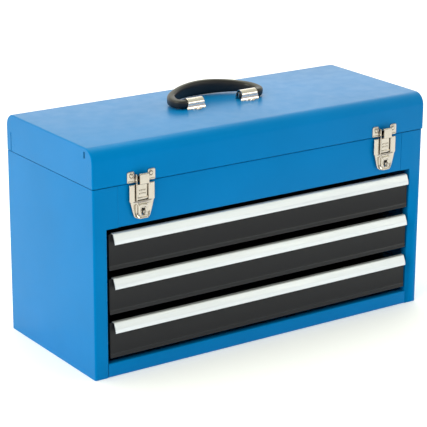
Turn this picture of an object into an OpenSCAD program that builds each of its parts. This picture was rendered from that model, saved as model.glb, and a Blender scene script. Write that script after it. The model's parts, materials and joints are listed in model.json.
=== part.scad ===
// Portable sheet-steel tool chest: a lidded top compartment over three drawers.
// Millimetres. The origin is on the underside at the middle of the case;
// +X is the user's right, +Y is the back and +Z is up.

/* [Case] */
// Width across the two side panels
case_w = 512; // [500:1:560]
// Depth from the front face to the back face
case_d = 214; // [210:1:240]
// Height of the case's rim, where the lid meets it
rim_z = 246; // [246:1:250]
// Height of the closed lid's top
box_h = 295; // [290:1:310]
// Thickness of the sheet steel
sheet = 0.8; // [0.8:0.1:1]
// Width of the posts beside the drawers
post_w = 19; // [17:1:21]
// Height of the rail under the drawers
bottom_rail_h = 18; // [14:1:19]
// Height of the top of the drawer opening
opening_top = 193; // [190:1:193]
// Width of the side panel's flange beside the front panel
front_flange_w = 35; // [30:1:40]
// Depth of the fold that stiffens each rim
hem_h = 10; // [6:1:12]

/* [Drawers] */
// Height from one drawer to the next
drawer_pitch = 57.3; // [56:0.1:57.5]
// Height of the lowest drawer front's bottom edge
lowest_front_z = 24.7; // [22:0.1:25]
// Height of a drawer front with its pull
front_h = 48; // [46:1:49]
// Width of a drawer front
front_w = 464; // [455:1:464]
// Width of a drawer tray
tray_w = 448; // [440:1:448]
// Height of a drawer tray's walls
tray_h = 36; // [24:1:38]
// Width of a drawer pull
pull_w = 460; // [455:1:470]
// Height of the slanted face of a pull
pull_h = 12.5; // [10:0.5:14]
// How far the pull's lower edge stands out from the case
pull_reach = 7.2; // [6:0.1:9]

/* [Lid] */
// How far the lid stands out from the case at its front and ends
lid_overhang = 1; // [0.5:0.1:1.5]
// Gap between the lid's edge and the case's rim
lid_gap = 0.6; // [0.4:0.1:0.8]
// Radius of the lid's long top bends
lid_r = 16.5; // [10:0.5:20]

/* [Latches] */
// Distance from the middle of the case to each latch
latch_x = 189; // [170:1:195]
// Width of a latch lever
latch_w = 36; // [35:1:39]
// Width of a keeper
keeper_w = 40; // [38:1:42]
// Distance from a keeper's middle to each of its rivets
keeper_rivet_x = 13.8; // [13:0.1:15]

/* [Handle] */
// Distance from the middle of the lid to each handle clip
clip_x = 42; // [36:1:45]
// Length of a clip along the handle's axis
clip_w = 28; // [24:1:30]
// Overall length of the handle
handle_w = 143; // [141:1:150]
// Height of the grip's middle above its pivot axis
grip_rise = 49; // [47:0.5:54]
// Thickness of the grip
grip_t = 9; // [8:0.5:9]
// Breadth of the grip at its middle
grip_b = 20; // [16:1:20]
// How far the handle leans back at rest, in degrees
handle_lean = 85; // [0:1:85]

/* [Hidden] */
$fn = 48;
sides = [["left", -1], ["right", 1]];
drawers = [1, 2, 3];

x_side = case_w / 2;
y_front = -case_d / 2;
y_back = case_d / 2;
x_post = x_side - post_w;
x_flange = x_side - front_flange_w;
panel_gap = 0.3;
post_return = 11;
lap_w = 15;
pan_flange_h = 12;
back_flange_w = 12;
floor_top = opening_top + 2 * sheet;

// Lid
lid_x = x_side + lid_overhang;
lid_front = y_front - lid_overhang;
lid_z = rim_z + lid_gap;
lid_hem_h = 6;

// Piano hinge along the back of the seam
hinge_knuckle_r = 2.1;
hinge_bore_r = 1.3;
hinge_pin_r = 1.22;
hinge_leaf_t = 0.8;
hinge_leaf_h = 14;
hinge_y = y_back + hinge_knuckle_r + 0.05;
hinge_z = rim_z + lid_gap / 2;
hinge_half = 240;
knuckle_count = 20;
knuckle_pitch = 2 * hinge_half / knuckle_count;
knuckle_gap = 0.4;

// Lid stays: the bar's pivot and the stud in its slot are equally far from
// the hinge axis, so the bar always turns by half the lid's angle
stay_arm = 43;
stay_pivot_angle = 60;
stay_stud_angle = -8;
lid_open_angle = 90;
stay_in_x = x_side - 4 * sheet;
stay_t = 1.2;
stay_half_w = 4;
stay_pin_r = 1.9;
stay_hole_r = 1.95;
stay_slot_r = 2.25;
stay_boss_r = 3.2;
stay_head_r = 3.5;
stay_near = 2 * stay_arm * sin((stay_pivot_angle - stay_stud_angle) / 2);
stay_far = 2 * stay_arm * sin((stay_pivot_angle - stay_stud_angle + lid_open_angle) / 2);
stay_pivot = [hinge_y - stay_arm * cos(stay_pivot_angle), hinge_z + stay_arm * sin(stay_pivot_angle)];
stay_stud = [hinge_y - stay_arm * cos(stay_stud_angle), hinge_z + stay_arm * sin(stay_stud_angle)];

// Drawer slides
slide_t = 1.2;
rail_half_h = 11;
runner_half_h = 9.5;
rail_front = y_front + 15;
rail_lip_w = 11;
runner_lip_w = 10;
runner_front = y_front + 12;
runner_back = y_back - 13;
tray_back = y_back - 9;
slide_above_front = 24;
front_recess = 0.8;
front_lip_h = 5.5;
front_lip_out = 2;

// Pulls
pull_t = 1.2;
pull_top_reach = 2;
pull_leg_h = 8;
pull_bead_r = 1;

// Latches
lever_t = 1;
lever_flange = 2.4;
lever_face = 5.4;
lever_top = 244.6;
lever_shoulder = 223;
lever_neck = 206;
lever_neck_half = 12;
lever_bottom = 201.5;
window_half = 9.5;
window_bottom = 220;
ear_t = 1.2;
lever_ear_x = 9.5;
base_ear_x = 10.9;
ear_r = 1.45;
latch_pin_r = 0.9;
latch_hole_r = 0.95;
lever_pivot = [y_front - 2.9, 242];
hook_pivot = [y_front - 3.1, 226.5];
hook_leg_x = 7.2;
hook_leg_reach = 7;
hook_top = 258.8;
hook_face = 10;
hook_step_z = 245;
panel_half = 6.2;
staple_z = 209.5;
staple_half_h = 3;
slot_gap = 0.9;
padlock_r = 2.2;
padlock_y = y_front - 9.6;
base_rivet_z = [217.5, 232];
keeper_top = 261;
keeper_rivet_z = 255.7;
ledge_half = 6.2;
ledge_low = 249;
ledge_top = 256;
ledge_reach = 5.4;
rivet_shank_r = 1.55;
rivet_hole_r = 1.6;
rivet_head_r = 2.5;
rivet_head_h = 1;

// Handle
handle_y = -2;
handle_axis_z = box_h + 6.3;
clip_t = 1.2;
journal_r = 5.6;
clip_r = 5.7;
foot_reach = 15;
foot_half = 7;
clip_rivet_y = 11;
journal_in = 28.5;
journal_out = clip_x + clip_w / 2 + 4;
end_half = 5.4;
toe_half = 3;
swell_power = 2.2;
end_bend_r = 10;
end_bend_x = handle_w / 2 - grip_t / 2 - end_bend_r;
shoulder_r = 24;
shoulder_x = end_bend_x + end_bend_r - shoulder_r;
shoulder_rise = grip_rise - end_bend_r;
grip_arc_r = (pow(shoulder_x, 2) + pow(shoulder_rise, 2) - pow(shoulder_r, 2))
    / (2 * (shoulder_rise - shoulder_r));
grip_arc_z = grip_rise - grip_arc_r;
grip_arc_angle = atan(shoulder_x / (end_bend_r - grip_arc_z));
core_t = 1.6;
core_w = 6;
plate_half_x = 62;
plate_half_y = 20;

blue = "#0a78bd";
charcoal = "#35363a";
satin = "#e4e6e8";
nickel = "#cfc5b6";
zinc = "#9a9c9f";
black = "#1c191c";

// Height of a drawer front's bottom edge; drawer 1 is the top one
function front_z(i) = lowest_front_z + (len(drawers) - i) * drawer_pitch;

// Points along an arc about c
function arc(c, r, a0, a1, n = 12) =
    [for (i = [0:n]) c + r * [cos(a0 + (a1 - a0) * i / n), sin(a0 + (a1 - a0) * i / n)]];

// All of a path but its first point
function tail(path) = [for (i = [1:len(path) - 1]) path[i]];

// A path from its end to its start
function reversed(path) = [for (i = [len(path) - 1:-1:0]) path[i]];

// The lid's cross-section as [y, z] points, brought in by inset
function lid_outline(inset) = concat(
    [[y_back - inset, lid_z]],
    arc([y_back - lid_r, box_h - lid_r], lid_r - inset, 0, 90),
    arc([lid_front + lid_r, box_h - lid_r], lid_r - inset, 90, 180),
    [[lid_front + inset, lid_z]]
);

// Half of the handle's side outline as [x, z] points, from its middle round its end and
// back in to x_in; out is the distance from the centreline
function grip_edge(out, x_in) = concat(
    arc([0, grip_arc_z], grip_arc_r + out, 90, 90 - grip_arc_angle, 10),
    tail(arc([shoulder_x, end_bend_r], shoulder_r + out, 90 - grip_arc_angle, 0, 8)),
    tail(arc([end_bend_x, end_bend_r], end_bend_r + out, 0, -90, 8)),
    [[x_in, -out]]
);

// A path that starts on the Z axis, joined to its mirror image
function both_halves(path) = concat(reversed([for (p = path) [-p[0], p[1]]]), tail(path));

// Half the grip's breadth at a fraction of its rise: slim at the ends, swelling to the middle
function grip_half(fraction) = end_half + (grip_b / 2 - end_half) * pow(fraction, swell_power);

// A box from its lowest corner to its highest corner
module block(low, high) {
    translate(low) cube(high - low);
}

// Draws right-hand geometry on either side
module on_side(s) {
    mirror([s < 0 ? 1 : 0, 0, 0]) children();
}

// Draws a [y, z] outline extruded along X, from x0 to x1
module along_x(x0, x1) {
    translate([x0, 0, 0]) rotate([90, 0, 90]) linear_extrude(x1 - x0) children();
}

// Draws an [x, z] outline extruded along Y, from y0 to y1
module along_y(y0, y1) {
    translate([0, y1, 0]) rotate([90, 0, 0]) linear_extrude(y1 - y0) children();
}

// A round bar along X, from x0 to x1, at p = [y, z]
module bar_x(p, r, x0, x1) {
    translate([x0, p[0], p[1]]) rotate([0, 90, 0]) cylinder(r = r, h = x1 - x0);
}

// A round bar along Y, from y0 to y1, at x and z
module bar_y(x, z, r, y0, y1) {
    translate([x, y1, z]) rotate([90, 0, 0]) cylinder(r = r, h = y1 - y0);
}

// ---- Case ----

module bottom_pan() {
    color(blue) union() {
        block([-x_side + sheet, y_front + sheet, 0], [x_side - sheet, y_back, sheet]);
        block([-x_post, y_front, 0], [x_post, y_front + sheet, bottom_rail_h]);
        block([-x_post, y_front, bottom_rail_h - sheet], [x_post, y_front + 9, bottom_rail_h]);
        for (side = sides) on_side(side[1])
            block([x_side - 2 * sheet, y_front + 12, 0], [x_side - sheet, y_back - 15, pan_flange_h]);
    }
}

module side_panel() {
    color(blue) union() {
        block([x_side - sheet, y_front, 0], [x_side, y_back, rim_z]);
        block([x_post, y_front, 0], [x_side, y_front + sheet, opening_top]);
        block([x_flange, y_front, opening_top], [x_side, y_front + sheet, rim_z]);
        block([x_post, y_front, sheet], [x_post + sheet, y_front + post_return, opening_top]);
        block([x_side - 2 * sheet, y_front + 3, rim_z - hem_h], [x_side, y_back - 15, rim_z]);
    }
}

module back_panel() {
    inside = x_side - sheet;
    color(blue) union() {
        block([-inside, y_back - sheet, sheet], [inside, y_back, rim_z]);
        block([-inside + 3, y_back - 2 * sheet, rim_z - hem_h], [inside - 3, y_back, rim_z]);
        for (side = sides) on_side(side[1])
            block([inside - sheet, y_back - back_flange_w, 2], [inside, y_back, opening_top - 4]);
    }
}

module front_panel() {
    half = x_flange - panel_gap;
    color(blue) difference() {
        union() {
            block([-half, y_front, opening_top], [half, y_front + sheet, rim_z]);
            block([-half, y_front, opening_top], [half, y_front + 10, opening_top + sheet]);
            block([-half, y_front, rim_z - hem_h], [half, y_front + 2 * sheet, rim_z]);
            block([-half - lap_w, y_front + sheet, floor_top + 2],
                  [half + lap_w, y_front + 2 * sheet, rim_z - hem_h - 1]);
        }
        for (side = sides, z = base_rivet_z)
            bar_y(side[1] * latch_x, z, rivet_hole_r, y_front - 1, y_front + 4);
    }
}

module compartment_floor() {
    inside = x_side - sheet;
    color(blue) union() {
        block([-inside, y_front + sheet, floor_top - sheet], [inside, y_back - sheet, floor_top]);
        for (side = sides) on_side(side[1])
            block([inside - sheet, y_front + 13, floor_top - 11], [inside, y_back - 17, floor_top]);
    }
}

// One leaf of the piano hinge; up = 1 for the lid's leaf, -1 for the case's
module hinge_leaf(up) {
    first = up > 0 ? 1 : 0;
    clear = hinge_knuckle_r + 0.3;
    color(blue) union() {
        translate([0, 0, hinge_z]) mirror([0, 0, up > 0 ? 0 : 1])
            block([-hinge_half, y_back, clear], [hinge_half, y_back + hinge_leaf_t, hinge_leaf_h]);
        for (i = [first:2:knuckle_count - 1]) {
            x0 = -hinge_half + i * knuckle_pitch + knuckle_gap / 2;
            x1 = x0 + knuckle_pitch - knuckle_gap;
            difference() {
                bar_x([hinge_y, hinge_z], hinge_knuckle_r, x0, x1);
                bar_x([hinge_y, hinge_z], hinge_bore_r, x0 - 1, x1 + 1);
            }
            translate([0, 0, hinge_z]) mirror([0, 0, up > 0 ? 0 : 1])
                block([x0, y_back + 0.05, 0], [x1, y_back + hinge_leaf_t, clear + 0.5]);
        }
    }
}

module hinge_leaf_case() {
    hinge_leaf(-1);
}

module hinge_pin() {
    color(zinc) bar_x([hinge_y, hinge_z], hinge_pin_r, -hinge_half, hinge_half);
}

// Plate on the front panel with two ears for the lever and a staple for a padlock
module latch_base() {
    ear_low = lever_pivot[1] - 6;
    color(nickel) difference() {
        union() {
            block([-base_ear_x - ear_t, y_front - ear_t, lever_bottom + 4],
                  [base_ear_x + ear_t, y_front, lever_pivot[1] + ear_r]);
            for (side = sides) on_side(side[1]) along_x(base_ear_x, base_ear_x + ear_t) {
                translate(lever_pivot) circle(r = ear_r);
                translate([lever_pivot[0], ear_low])
                    square([y_front - lever_pivot[0], lever_pivot[1] + ear_r - ear_low]);
            }
            along_x(-slot_gap, slot_gap) translate([padlock_y, staple_z]) {
                circle(r = staple_half_h);
                translate([0, -staple_half_h]) square([y_front - padlock_y, 2 * staple_half_h]);
            }
        }
        bar_x(lever_pivot, latch_hole_r, -latch_w / 2, latch_w / 2);
        bar_x([padlock_y, staple_z], padlock_r, -5, 5);
        for (z = base_rivet_z) bar_y(0, z, rivet_hole_r, y_front - 5, y_front + 1);
    }
}

// Rivets that hold both latch bases to the front panel
module latch_base_rivets() {
    color(nickel) for (side = sides, z = base_rivet_z) {
        x = side[1] * latch_x;
        bar_y(x, z, rivet_shank_r, y_front - ear_t - 0.5, y_front + 2.5);
        bar_y(x, z, rivet_head_r, y_front - ear_t - rivet_head_h, y_front - ear_t);
        bar_y(x, z, rivet_head_r, y_front + 2 * sheet, y_front + 2 * sheet + rivet_head_h);
    }
}

// Two short rivets on which a lever turns, one in each pair of ears
module lever_rivets() {
    color(nickel) for (side = sides) on_side(side[1]) {
        bar_x(lever_pivot, latch_pin_r, lever_ear_x - 0.1, base_ear_x + ear_t + 0.5);
        bar_x(lever_pivot, ear_r - 0.3, base_ear_x + ear_t, base_ear_x + ear_t + 0.7);
    }
}

// Studs on the case's rim that slide in the lid stays
module stay_studs() {
    x0 = stay_in_x - rivet_head_h - 0.1;
    color(zinc) for (side = sides) on_side(side[1]) {
        bar_x(stay_stud, stay_pin_r, x0, x_side - 2 * sheet);
        bar_x(stay_stud, stay_head_r, x0, x0 + rivet_head_h);
        bar_x(stay_stud, stay_boss_r, stay_in_x + stay_t + 0.1, x_side - 2 * sheet);
    }
}

// The fixed C-shaped member of a drawer slide, from a post to the back panel
module slide_rail(i) {
    z = front_z(i) + slide_above_front;
    color(zinc) union() {
        block([x_post - slide_t, rail_front, z - rail_half_h], [x_post, y_back - sheet, z + rail_half_h]);
        for (up = [0, 1]) translate([0, 0, z]) mirror([0, 0, up])
            block([x_post - rail_lip_w, rail_front, rail_half_h - slide_t],
                  [x_post, y_back - 10, rail_half_h]);
        block([x_post - slide_t, y_back - sheet - slide_t, z - runner_half_h],
              [x_post + 12, y_back - sheet, z + runner_half_h]);
    }
}

// ---- Lid ----

module lid_shell() {
    color(blue) difference() {
        union() {
            along_x(-x_side, x_side) difference() {
                polygon(lid_outline(0));
                polygon(concat([[y_back - sheet, lid_z - 1]], lid_outline(sheet),
                               [[lid_front + sheet, lid_z - 1]]));
            }
            block([-x_side + 3, lid_front, lid_z], [x_side - 3, lid_front + 2 * sheet, lid_z + lid_hem_h]);
        }
        for (side = sides, end = sides) {
            x = side[1] * latch_x + end[1] * keeper_rivet_x;
            bar_y(x, keeper_rivet_z, rivet_hole_r, lid_front - 1, lid_front + 3);
            translate([side[1] * clip_x, handle_y + end[1] * clip_rivet_y, box_h - 3])
                cylinder(r = rivet_hole_r, h = 5);
        }
    }
}

module lid_end() {
    color(blue) union() {
        along_x(x_side, lid_x) polygon(lid_outline(0));
        block([x_side - sheet, lid_front + 5, lid_z], [lid_x, y_back - 22, lid_z + lid_hem_h]);
    }
}

module hinge_leaf_lid() {
    hinge_leaf(1);
}

// Plate riveted to the lid, with a ledge for the hook to catch
module keeper() {
    face = lid_front - ear_t;
    color(nickel) difference() {
        union() {
            block([-keeper_w / 2, face, lid_z + 0.2], [keeper_w / 2, lid_front, ledge_low + 5]);
            for (side = sides) on_side(side[1])
                block([hook_leg_x + ear_t + 0.4, face, lid_z + 0.2],
                      [keeper_w / 2, lid_front, keeper_top]);
            block([-ledge_half, lid_front - ledge_reach, ledge_low],
                  [ledge_half, lid_front - ledge_reach + ear_t, ledge_top]);
            block([-ledge_half, lid_front - ledge_reach, ledge_top - ear_t], [ledge_half, face, ledge_top]);
            block([-ledge_half, face, ledge_low], [ledge_half, lid_front, ledge_top]);
        }
        for (side = sides)
            bar_y(side[1] * keeper_rivet_x, keeper_rivet_z, rivet_hole_r, face - 1, lid_front + 1);
    }
}

// Rivets that hold both keepers to the lid
module keeper_rivets() {
    color(nickel) for (side = sides, end = sides) {
        x = side[1] * latch_x + end[1] * keeper_rivet_x;
        bar_y(x, keeper_rivet_z, rivet_shank_r, lid_front - ear_t - 0.5, lid_front + sheet + 0.5);
        bar_y(x, keeper_rivet_z, rivet_head_r, lid_front - ear_t - rivet_head_h, lid_front - ear_t);
        bar_y(x, keeper_rivet_z, rivet_head_r, lid_front + sheet, lid_front + sheet + rivet_head_h);
    }
}

// Saddle that holds one journal of the handle down on the lid
module handle_clip() {
    color(nickel) difference() {
        union() {
            along_x(-clip_w / 2, clip_w / 2) difference() {
                union() {
                    translate([handle_y, handle_axis_z]) circle(r = clip_r + clip_t);
                    translate([handle_y - clip_r - clip_t, box_h])
                        square([2 * (clip_r + clip_t), handle_axis_z - box_h]);
                }
                translate([handle_y, handle_axis_z]) circle(r = clip_r);
                translate([handle_y - clip_r, box_h - 1])
                    square([2 * clip_r, handle_axis_z - box_h + 1]);
            }
            for (end = sides) translate([0, handle_y, 0]) mirror([0, end[1] < 0 ? 1 : 0, 0]) {
                block([-foot_half, clip_r, box_h], [foot_half, clip_rivet_y, box_h + clip_t]);
                translate([0, foot_reach - 4, box_h]) cylinder(r = 4, h = clip_t);
            }
        }
        for (end = sides)
            translate([0, handle_y + end[1] * clip_rivet_y, box_h - 1]) cylinder(r = rivet_hole_r, h = 4);
    }
}

// Stiffening plate under the lid's top, behind the handle's clips
module handle_plate() {
    top = box_h - sheet;
    color(zinc) difference() {
        block([-plate_half_x, handle_y - plate_half_y, top - clip_t],
              [plate_half_x, handle_y + plate_half_y, top]);
        for (side = sides, end = sides)
            translate([side[1] * clip_x, handle_y + end[1] * clip_rivet_y, top - 3])
                cylinder(r = rivet_hole_r, h = 5);
    }
}

// Rivets through the clips, the lid and the stiffening plate
module handle_rivets() {
    low = box_h - sheet - clip_t;
    high = box_h + clip_t;
    color(nickel) for (side = sides, end = sides)
        translate([side[1] * clip_x, handle_y + end[1] * clip_rivet_y, 0]) {
            translate([0, 0, low - 0.5]) cylinder(r = rivet_shank_r, h = high - low + 1);
            translate([0, 0, high]) cylinder(r = rivet_head_r, h = rivet_head_h);
            translate([0, 0, low - rivet_head_h]) cylinder(r = rivet_head_r, h = rivet_head_h);
        }
}

// Studs on the lid's ends on which the stays turn
module stay_pivots() {
    x0 = stay_in_x - rivet_head_h - 0.1;
    color(zinc) for (side = sides) on_side(side[1]) {
        bar_x(stay_pivot, stay_pin_r, x0, x_side);
        bar_x(stay_pivot, stay_head_r, x0, x0 + rivet_head_h);
        bar_x(stay_pivot, stay_boss_r, stay_in_x + stay_t + 0.1, x_side);
    }
}

// Flat bar pivoted on the lid, with a slot that rides on the case's stud
module stay() {
    aim = atan2(stay_stud[1] - stay_pivot[1], stay_stud[0] - stay_pivot[0]);
    end = stay_far + 4;
    color(zinc) along_x(stay_in_x, stay_in_x + stay_t) translate(stay_pivot) rotate(aim) difference() {
        union() {
            circle(r = stay_half_w + 1);
            translate([0, -stay_half_w]) square([end, 2 * stay_half_w]);
            translate([end, 0]) circle(r = stay_half_w);
        }
        circle(r = stay_hole_r);
        translate([stay_near - 0.3, -stay_slot_r]) square([stay_far - stay_near + 0.6, 2 * stay_slot_r]);
        for (d = [stay_near - 0.3, stay_far + 0.3]) translate([d, 0]) circle(r = stay_slot_r);
    }
}

// ---- Handle ----

// The handle's side outline, as thick as t and ending at x_in on either side
module grip_outline(t, x_in) {
    outer = both_halves(grip_edge(t / 2, x_in));
    inner = both_halves(grip_edge(-t / 2, x_in));
    polygon(concat(outer, reversed(inner)));
}

// Turns the handle back to its lean about its pivot axis
module leaning() {
    translate([0, handle_y, handle_axis_z]) rotate([-handle_lean, 0, 0]) children();
}

// Moulded grip: a loop that swells towards its middle, with ends that curl under to round
// journals
module handle_grip() {
    top_z = grip_rise + grip_t;
    swell = [for (f = [0:0.1:1]) [grip_half(f), f * grip_rise]];
    section = concat([[toe_half, -grip_t / 2 - 1]], swell, [[grip_b / 2, top_z]]);
    color(black) leaning() difference() {
        union() {
            intersection() {
                along_y(-grip_b / 2, grip_b / 2) grip_outline(grip_t, journal_out - 3.5);
                along_x(-handle_w / 2 - 1, handle_w / 2 + 1)
                    polygon(concat(section, reversed([for (p = section) [-p[0], p[1]]])));
            }
            for (side = sides) on_side(side[1]) bar_x([0, 0], journal_r, journal_in, journal_out);
        }
        along_y(-core_w / 2, core_w / 2) grip_outline(core_t, journal_in);
    }
}

// Flat steel strip inside the grip, from one journal's end to the other's
module handle_core() {
    color(zinc) leaning() along_y(-core_w / 2, core_w / 2) grip_outline(core_t, journal_in);
}

// ---- Latches ----

module lever_outline() {
    neck_h = lever_neck - lever_bottom;
    neck_r = (pow(lever_neck_half, 2) + pow(neck_h, 2)) / (2 * neck_h);
    neck_a = asin(lever_neck_half / neck_r);
    polygon(concat(
        [[-latch_w / 2, lever_top], [-latch_w / 2, lever_shoulder]],
        arc([0, lever_bottom + neck_r], neck_r, 270 - neck_a, 270 + neck_a),
        [[latch_w / 2, lever_shoulder], [latch_w / 2, lever_top]]
    ));
}

// Pressed lever with a window for the hook, ears at its sides and a slot for the staple
module lever() {
    face = y_front - lever_face;
    back = face + lever_t;
    color(nickel) difference() {
        union() {
            difference() {
                along_y(face, back) lever_outline();
                block([-window_half, face - 1, window_bottom], [window_half, back + 1, lever_top + 1]);
                block([-2 * slot_gap, face - 1, staple_z - staple_half_h - slot_gap],
                      [2 * slot_gap, back + 1, staple_z + staple_half_h + slot_gap]);
            }
            for (side = sides) on_side(side[1]) {
                block([latch_w / 2 - lever_t, face, lever_shoulder + 1],
                      [latch_w / 2, back + lever_flange, lever_top]);
                along_x(lever_ear_x, lever_ear_x + ear_t) {
                    translate(lever_pivot) circle(r = ear_r);
                    translate([face, window_bottom])
                        square([lever_face - 1.6, lever_pivot[1] - window_bottom]);
                    translate([face, window_bottom]) square([lever_t, lever_top - window_bottom]);
                }
            }
        }
        bar_x(lever_pivot, latch_hole_r, -latch_w / 2 + 2, latch_w / 2 - 2);
        bar_x(hook_pivot, latch_hole_r, -latch_w / 2 + 2, latch_w / 2 - 2);
    }
}

// Pin through a lever's ears that carries the hook
module hook_pin() {
    color(nickel) bar_x(hook_pivot, latch_pin_r, -lever_ear_x - ear_t - 0.6, lever_ear_x + ear_t + 0.6);
}

// Channel-shaped hook that reaches over the keeper's ledge
module hook() {
    face = y_front - hook_face;
    outer = hook_leg_x + ear_t;
    web = [hook_pivot[0] - 0.8, hook_pivot[0] + 0.4];
    color(nickel) difference() {
        union() {
            for (side = sides) on_side(side[1]) {
                block([hook_leg_x, y_front - hook_leg_reach, hook_pivot[1] - 3],
                      [outer, lid_front - ear_t - 0.3, hook_top - 0.5]);
                block([hook_leg_x, y_front - hook_leg_reach, hook_pivot[1] - 3],
                      [outer, y_front - 1.5, hook_pivot[1] + 4]);
            }
            block([-outer, web[0], hook_pivot[1] + 2], [outer, web[1], hook_step_z + ear_t]);
            block([-panel_half, face, hook_step_z], [panel_half, web[1], hook_step_z + ear_t]);
            block([-panel_half, face, hook_step_z], [panel_half, face + ear_t, hook_top]);
            block([-panel_half, face, hook_top - ear_t],
                  [panel_half, lid_front - ledge_reach - 0.3, hook_top]);
        }
        bar_x(hook_pivot, latch_hole_r, -outer - 1, outer + 1);
    }
}

// ---- Drawers ----

// Open tray; its front wall backs the drawer front
module drawer_tray(i) {
    low = [-tray_w / 2, y_front + front_recess + sheet, front_z(i) + 1];
    high = [tray_w / 2, tray_back, front_z(i) + 1 + tray_h];
    color(charcoal) difference() {
        block(low, high);
        block(low + [sheet, sheet, sheet], high + [-sheet, -sheet, 1]);
    }
}

module drawer_front(i) {
    z = front_z(i);
    color(charcoal) union() {
        block([-front_w / 2, y_front + front_recess, z],
              [front_w / 2, y_front + front_recess + sheet, z + front_h - pull_t]);
        block([-front_w / 2 - front_lip_out, y_front, z],
              [front_w / 2 + front_lip_out, y_front + front_recess + sheet, z + front_lip_h]);
    }
}

// Extruded pull, clipped over the top edge of the drawer front
module drawer_pull(i) {
    seat = front_recess + sheet;
    color(satin) along_x(-pull_w / 2, pull_w / 2) translate([y_front, front_z(i) + front_h]) {
        polygon([
            [seat + pull_t, 0], [-pull_top_reach, 0], [-pull_reach, -pull_h],
            [-pull_reach + pull_t, -pull_h], [-pull_top_reach + pull_t, -pull_t],
            [seat, -pull_t], [seat, -pull_leg_h], [seat + pull_t, -pull_leg_h]
        ]);
        translate([-pull_reach + pull_bead_r, -pull_h]) circle(r = pull_bead_r, $fn = 24);
    }
}

// The moving C-shaped member of a drawer slide, nested in the rail
module drawer_runner(i) {
    z = front_z(i) + slide_above_front;
    x0 = tray_w / 2;
    color(zinc) union() {
        block([x0, runner_front, z - runner_half_h], [x0 + slide_t, runner_back, z + runner_half_h]);
        for (up = [0, 1]) translate([0, 0, z]) mirror([0, 0, up])
            block([x0, runner_front, runner_half_h - slide_t],
                  [x0 + runner_lip_w, runner_back, runner_half_h]);
    }
}

bottom_pan();
back_panel();
front_panel();
compartment_floor();
hinge_leaf_case();
hinge_pin();
latch_base_rivets();
stay_studs();
lid_shell();
hinge_leaf_lid();
keeper_rivets();
handle_rivets();
handle_plate();
stay_pivots();
handle_grip();
handle_core();
for (side = sides) {
    name = side[0];
    s = side[1];
    on_side(s) side_panel();
    on_side(s) lid_end();
    on_side(s) stay();
    translate([s * clip_x, 0, 0]) handle_clip();
    translate([s * latch_x, 0, 0]) latch_base();
    translate([s * latch_x, 0, 0]) lever_rivets();
    translate([s * latch_x, 0, 0]) keeper();
    translate([s * latch_x, 0, 0]) lever();
    translate([s * latch_x, 0, 0]) hook_pin();
    translate([s * latch_x, 0, 0]) hook();
    for (i = drawers) {
        on_side(s) slide_rail(i);
        on_side(s) drawer_runner(i);
    }
}
for (i = drawers) {
    drawer_tray(i);
    drawer_front(i);
    drawer_pull(i);
}
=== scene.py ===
"""The looks of a portable steel tool chest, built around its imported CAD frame.

Lengths are millimetres in the frame's axes: +X right, -Y the front, +Z up.
"""
import json
import math

import bmesh
import bpy
from mathutils import Matrix, Vector


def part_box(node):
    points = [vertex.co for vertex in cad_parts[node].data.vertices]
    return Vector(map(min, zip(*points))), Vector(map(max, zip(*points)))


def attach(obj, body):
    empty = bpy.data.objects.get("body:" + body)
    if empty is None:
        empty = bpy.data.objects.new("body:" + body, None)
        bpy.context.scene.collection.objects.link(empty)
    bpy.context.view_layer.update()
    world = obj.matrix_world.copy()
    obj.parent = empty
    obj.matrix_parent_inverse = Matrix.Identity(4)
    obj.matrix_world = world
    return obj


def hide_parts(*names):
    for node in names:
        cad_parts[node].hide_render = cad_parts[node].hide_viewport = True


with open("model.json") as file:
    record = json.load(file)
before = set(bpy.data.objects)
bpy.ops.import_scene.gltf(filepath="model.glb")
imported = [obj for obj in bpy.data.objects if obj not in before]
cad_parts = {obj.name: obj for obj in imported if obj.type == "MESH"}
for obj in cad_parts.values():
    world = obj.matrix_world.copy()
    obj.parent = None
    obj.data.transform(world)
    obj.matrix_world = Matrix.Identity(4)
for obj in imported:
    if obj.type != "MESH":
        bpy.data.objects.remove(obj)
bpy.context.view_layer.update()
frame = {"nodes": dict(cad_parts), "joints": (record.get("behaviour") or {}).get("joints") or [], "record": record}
MM = 0.001
SIDES = (("left", -1), ("right", 1))
DRAWERS = (1, 2, 3)


# ---- Places and sizes, from the frame ----

def span(node):
    """Lowest and highest corner of a CAD node, in millimetres."""
    low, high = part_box(node)
    return low / MM, high / MM


def joint(name):
    """Where a CAD joint's axis passes, in millimetres."""
    for j in frame["joints"]:
        if j["name"] == name:
            return Vector(j["pos_m"]) / MM
    raise KeyError(name)


PANEL_LOW, PANEL_HIGH = span("side_panel_right")
X_SIDE = PANEL_HIGH.x
Y_FRONT, Y_BACK = PANEL_LOW.y, PANEL_HIGH.y
RIM_Z = PANEL_HIGH.z
RAIL_TOP = span("bottom_pan")[1].z
OPENING_TOP = span("front_panel")[0].z
LID_LOW, LID_HIGH = span("lid_shell")
LID_X = span("lid_end_right")[1].x - 0.2   # leaves room for the weld marks
LID_Z, TOP_Z = LID_LOW.z, LID_HIGH.z
T = LID_X - LID_HIGH.x   # sheet thickness
POST_X = span("slide_rail_right_1")[1].x - 12   # inner edge of a front post


# ---- Outlines ----

def arc(centre, radius, start, end, steps=8):
    """Points along an arc, angles in degrees."""
    turn = [math.radians(start + (end - start) * i / steps) for i in range(steps + 1)]
    return [(centre[0] + radius * math.cos(a), centre[1] + radius * math.sin(a)) for a in turn]


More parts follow.
